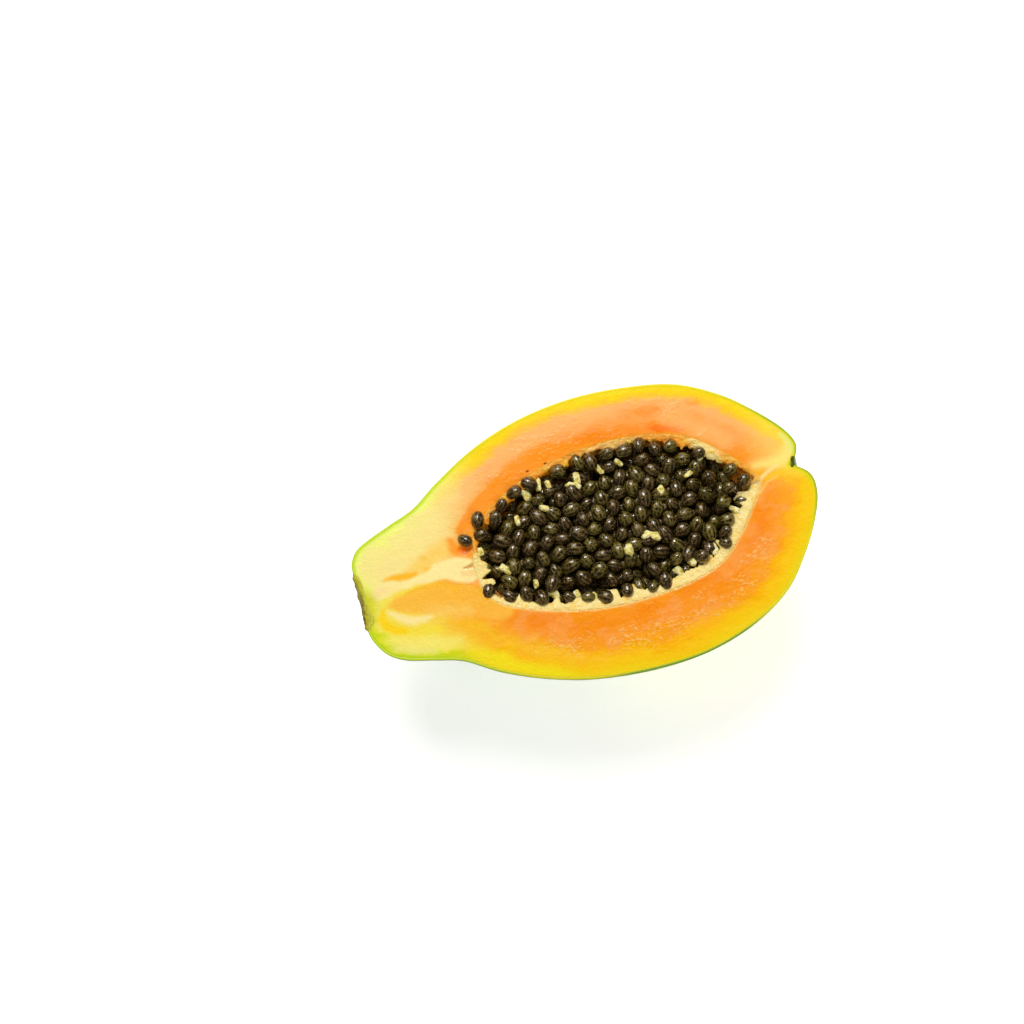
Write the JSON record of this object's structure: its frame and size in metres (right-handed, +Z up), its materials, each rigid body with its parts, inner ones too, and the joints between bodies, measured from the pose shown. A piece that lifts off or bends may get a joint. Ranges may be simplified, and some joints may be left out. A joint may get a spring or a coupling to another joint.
{
  "type": "papaya half",
  "caption": "Half a ripe papaya, cut lengthways and lying on its skin, with flesh, pale lining and a heap of dark seeds.",
  "frame": {"origin": "on the surface that the half rests on, under the middle of its bounding box", "axes": "+X along the fruit from the stalk end to the blossom end, +Y across it, +Z up out of the cut face"},
  "size_m": [0.167, 0.1016, 0.0517],
  "materials": {
    "peel": "thin waxy fruit skin, green turning yellow, faintly mottled",
    "flesh": "wet ripe flesh, yellow under the skin and deep orange round the cavity",
    "lining": "pale, soft, moist and fibrous",
    "seed_coat": "dark olive ridged seed under a wet clear jelly skin",
    "cork": "dry corky scar, olive and brown",
    "dry_scar": "dry dark button"
  },
  "bodies": {
    "root": {"peel": "peel", "flesh": "flesh", "placenta_lining": "lining", "seeds": "seed_coat", "stalk_scar": "cork", "blossom_scar": "dry_scar"}
  },
  "joints": []
}
